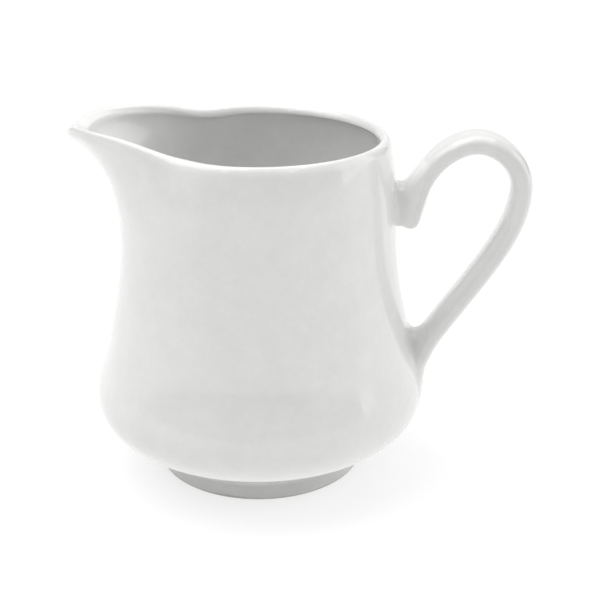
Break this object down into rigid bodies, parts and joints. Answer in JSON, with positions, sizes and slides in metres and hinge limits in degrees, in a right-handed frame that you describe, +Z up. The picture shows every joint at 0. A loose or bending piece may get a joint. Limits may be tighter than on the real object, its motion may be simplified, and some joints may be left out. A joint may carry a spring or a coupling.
{
  "type": "porcelain cream jug",
  "caption": "Small white glazed porcelain pouring jug with a bell-shaped body, pulled spout, looped strap handle and foot ring.",
  "frame": {"origin": "centre of the face of the foot ring that the jug stands on", "axes": "+Z up, +X towards the handle, -X towards the spout, Y across; the jug is symmetric about the XZ plane"},
  "size_m": [0.1102, 0.082, 0.0872],
  "materials": {
    "body_glaze": "glossy clear glaze over white porcelain",
    "foot_glaze": "glossy clear glaze, wiped off the ring that stands on the table",
    "handle_glaze": "glossy clear glaze over white porcelain",
    "slip_glaze": "glossy clear glaze over smoothed casting slip"
  },
  "bodies": {
    "root": {"body": "body_glaze", "foot_ring": "foot_glaze", "handle": "handle_glaze", "upper_slip_joint": "slip_glaze", "lower_slip_joint": "slip_glaze"}
  },
  "joints": []
}
